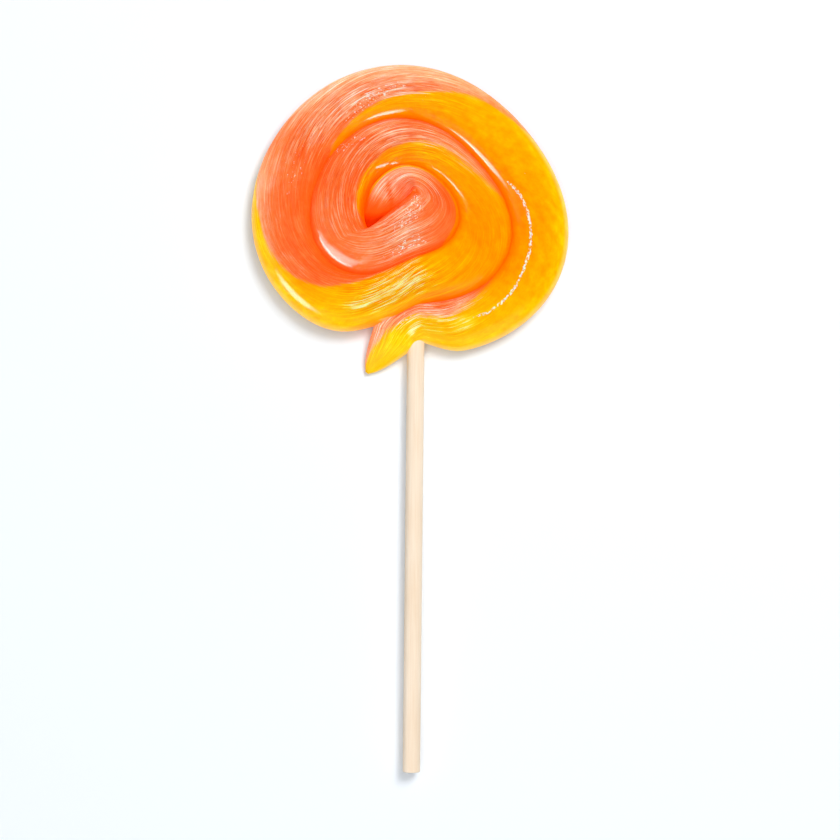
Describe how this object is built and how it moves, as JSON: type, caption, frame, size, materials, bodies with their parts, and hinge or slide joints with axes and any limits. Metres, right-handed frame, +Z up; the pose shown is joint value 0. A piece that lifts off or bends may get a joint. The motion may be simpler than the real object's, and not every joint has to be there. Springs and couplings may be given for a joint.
{
  "type": "swirl lollipop",
  "caption": "Flat round hard-candy lollipop: a rope of two twisted colours coiled into a swirl with a drawn-out tail, on a round wooden stick.",
  "frame": {"origin": "middle of the head's flat back, on the surface that the lollipop lies on", "axes": "+Z up out of the shown face, -Y along the stick away from the head, +X to the right as the shown face is seen"},
  "size_m": [0.0815, 0.1816, 0.0104],
  "materials": {
    "candy": "glossy translucent boiled sugar, coral and amber",
    "stick": "plain pale birch, unvarnished"
  },
  "bodies": {
    "root": {"candy": "candy", "stick": "stick"}
  },
  "joints": []
}
